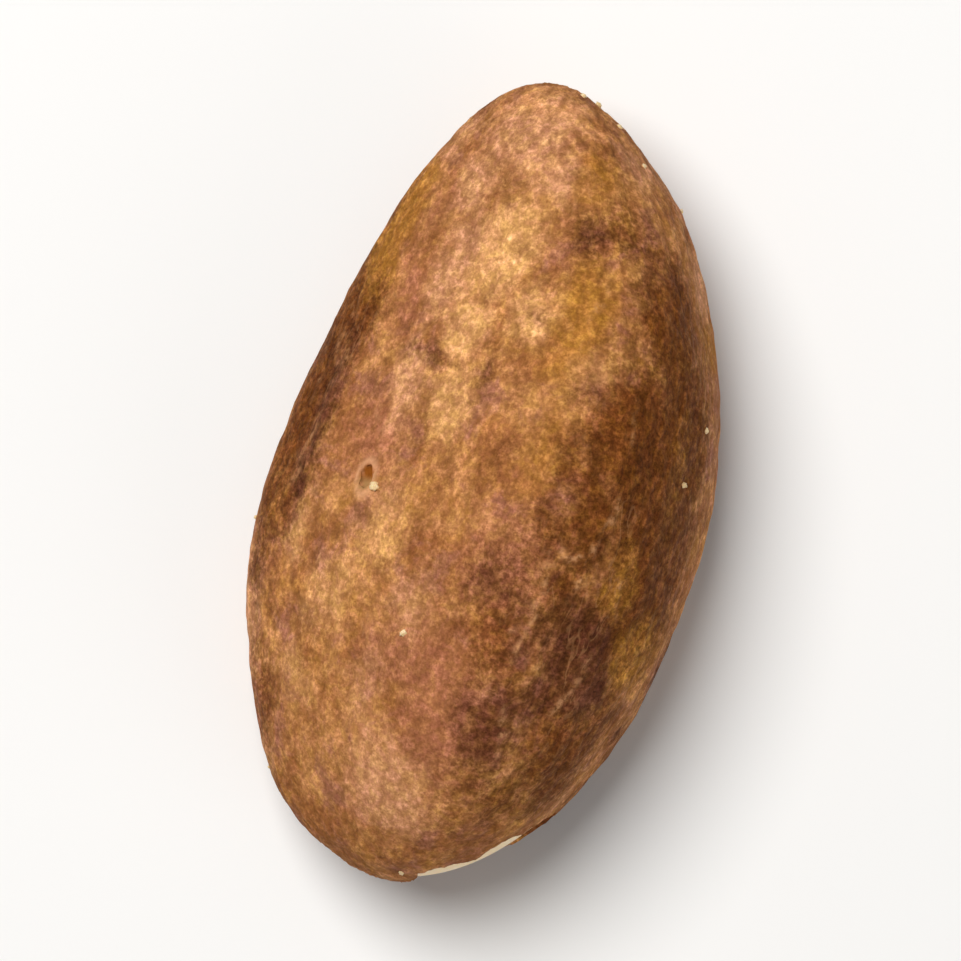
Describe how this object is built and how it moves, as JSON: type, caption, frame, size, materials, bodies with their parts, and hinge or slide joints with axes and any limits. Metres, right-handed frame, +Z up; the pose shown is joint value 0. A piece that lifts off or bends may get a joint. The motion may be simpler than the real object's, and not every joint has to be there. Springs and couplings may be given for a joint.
{
  "type": "shelled brazil nut in its brown skin",
  "caption": "Plump three-ridged nut kernel, wholly in its thin mottled brown skin but for a torn chip beside the broad end.",
  "frame": {"origin": "on the surface that the nut rests on, under the middle of its bounding box", "axes": "+Y along the nut to its narrow end, +Z up, +X to the more curved side"},
  "size_m": [0.0208, 0.038, 0.016],
  "materials": {
    "skin": "dull, finely fibrous"
  },
  "bodies": {
    "root": {"kernel": "skin"}
  },
  "joints": []
}
